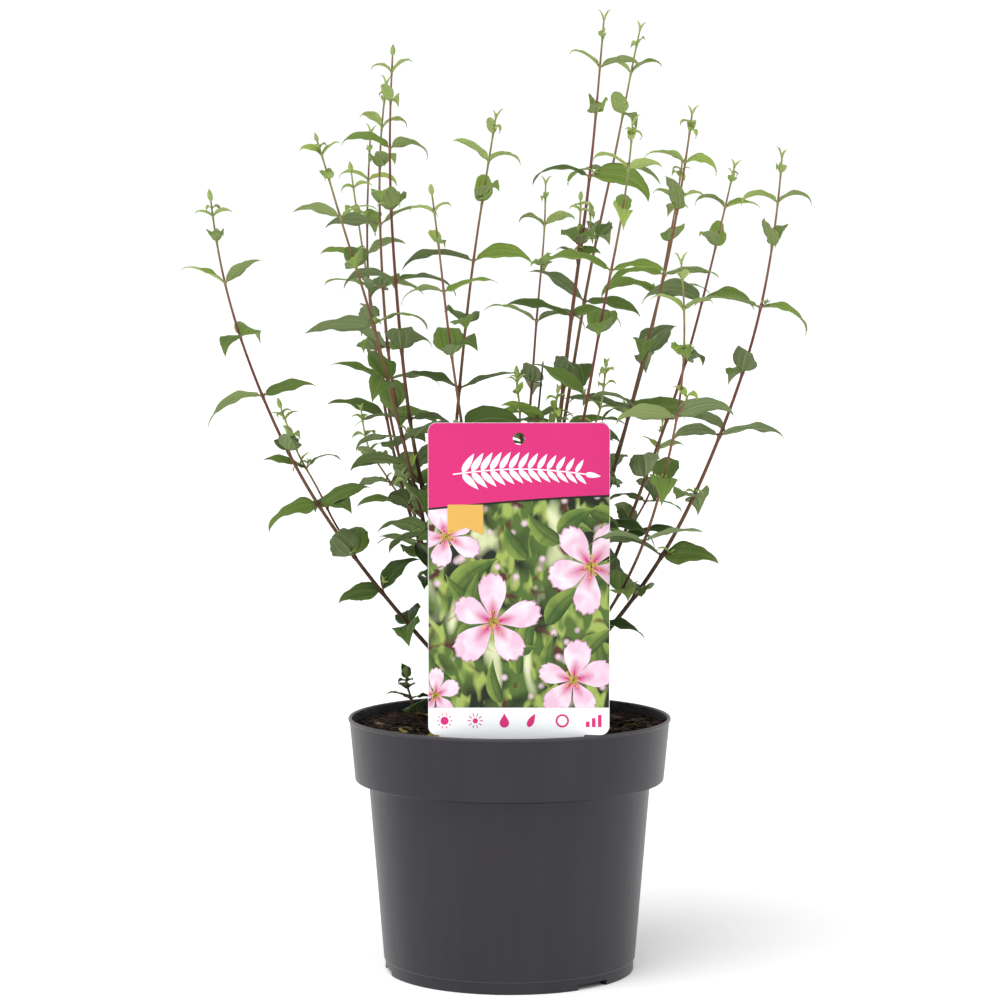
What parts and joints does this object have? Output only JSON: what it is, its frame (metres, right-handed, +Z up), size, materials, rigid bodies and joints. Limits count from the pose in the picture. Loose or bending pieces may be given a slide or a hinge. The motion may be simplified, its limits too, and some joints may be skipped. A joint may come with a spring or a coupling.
{
  "type": "mock orange shrub in a nursery pot",
  "caption": "Young many-stemmed flowering shrub, not in bloom, with arching stems and opposite pointed leaves, in a round dark plastic pot of soil with a picture card at the front.",
  "frame": {"origin": "on the pot's axis, in the plane that the pot stands on", "axes": "+Z up, along the pot's axis; the picture card stands at the front of the rim and faces -Y; +X is to the right when seen from the front"},
  "size_m": [0.3634, 0.2928, 0.5663],
  "materials": {
    "pot_plastic": "satin injection-moulded plastic, dark grey",
    "potting_soil": "moist dark peat with bits of bark",
    "printed_card": "smooth printed plastic sheet",
    "young_bark": "smooth reddish-brown young bark",
    "foliage": "soft mid-green leaves with a slight sheen"
  },
  "bodies": {
    "root": {"pot": "pot_plastic", "soil": "potting_soil", "card": "printed_card", "stool": "young_bark", "stem_01": "young_bark", "stem_02": "young_bark", "stem_03": "young_bark", "stem_04": "young_bark", "stem_05": "young_bark", "stem_06": "young_bark", "stem_07": "young_bark", "stem_08": "young_bark", "stem_09": "young_bark", "stem_10": "young_bark", "stem_11": "young_bark", "stem_12": "young_bark", "stem_13": "young_bark", "stem_14": "young_bark", "stem_15": "young_bark", "stem_16": "young_bark", "stem_17": "young_bark", "stem_18": "young_bark", "stem_19": "young_bark", "shoot_01": "foliage", "shoot_02": "foliage", "shoot_03": "foliage", "shoot_04": "foliage", "shoot_05": "foliage", "shoot_06": "foliage", "shoot_07": "foliage", "shoot_08": "foliage", "shoot_09": "foliage", "shoot_10": "foliage", "shoot_11": "foliage", "shoot_12": "foliage", "shoot_13": "foliage", "shoot_14": "foliage", "shoot_15": "foliage", "shoot_16": "foliage", "shoot_17": "foliage", "shoot_18": "foliage", "shoot_19": "foliage"}
  },
  "joints": []
}
